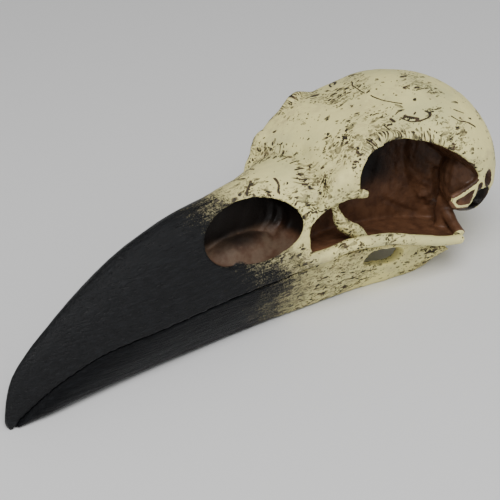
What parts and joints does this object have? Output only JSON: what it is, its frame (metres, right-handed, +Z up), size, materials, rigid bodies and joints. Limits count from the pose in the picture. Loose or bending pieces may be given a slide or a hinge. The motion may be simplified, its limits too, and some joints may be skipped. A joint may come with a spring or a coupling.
{
  "type": "raven skull model",
  "caption": "Life-size painted resin model of a raven skull with a closed black beak, open eye sockets and a forked lower jaw, lying on its jaw.",
  "frame": {"origin": "centre of the bounding box in plan, at the surface the skull lies on", "axes": "-X towards the tip of the beak, +Z up, +Y towards the skull's right side"},
  "size_m": [0.118, 0.0396, 0.0396],
  "materials": {
    "bone_paint": "cream paint on cast resin, with dark brown wash in its scratches",
    "horn_paint": "half-matte black paint with fine streaks along the beak",
    "wash_paint": "glossy red-brown wash inside the hollows"
  },
  "bodies": {
    "root": {"braincase": "bone_paint", "upper_bill": "horn_paint", "septum": "wash_paint", "palate": "wash_paint", "cheek_bar_left": "bone_paint", "cheek_bar_right": "bone_paint", "tear_bone_left": "bone_paint", "tear_bone_right": "bone_paint", "quadrate_left": "bone_paint", "quadrate_right": "bone_paint", "lower_jaw": "bone_paint"}
  },
  "joints": []
}
